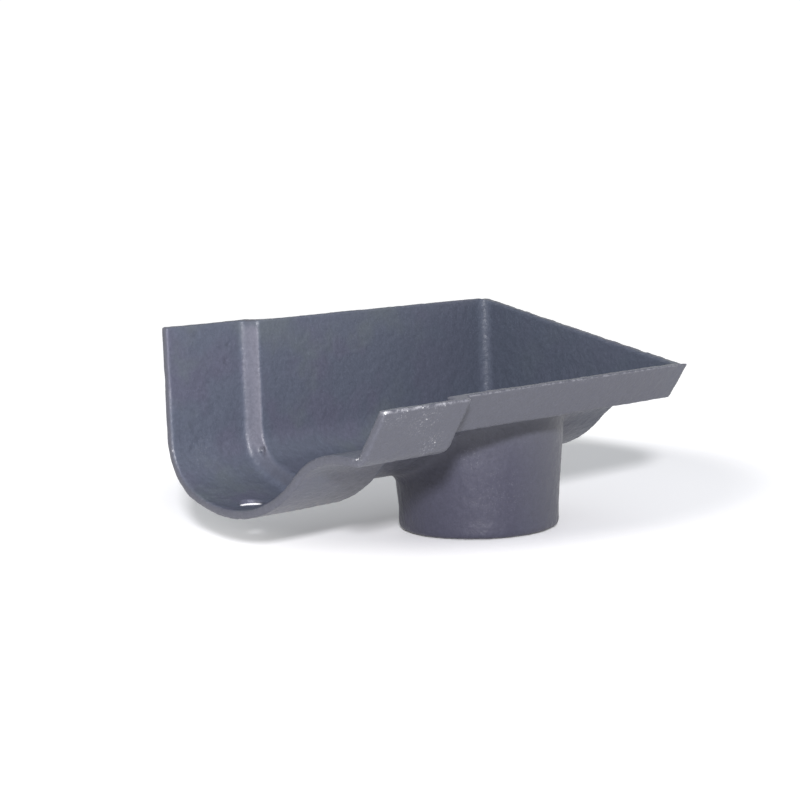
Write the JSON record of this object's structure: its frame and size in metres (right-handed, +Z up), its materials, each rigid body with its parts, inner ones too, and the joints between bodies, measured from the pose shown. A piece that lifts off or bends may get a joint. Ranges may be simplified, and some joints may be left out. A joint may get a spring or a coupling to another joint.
{
  "type": "gutter stopend outlet",
  "caption": "Cast iron ogee gutter length with one closed end, a joggled socket with a bolt hole at the other, and a round downpipe spigot.",
  "frame": {"origin": "centre of the downpipe spigot's foot, in the plane of its lower edge", "axes": "+X along the gutter from the open socket to the stop end, +Y to the back that lies against the fascia, +Z up along the spigot's axis"},
  "size_m": [0.1837, 0.1395, 0.0949],
  "materials": {
    "painted_casting": "slate grey satin primer over an as-cast skin, with a few white paint specks"
  },
  "bodies": {
    "root": {"outlet_casting": "painted_casting"}
  },
  "joints": []
}
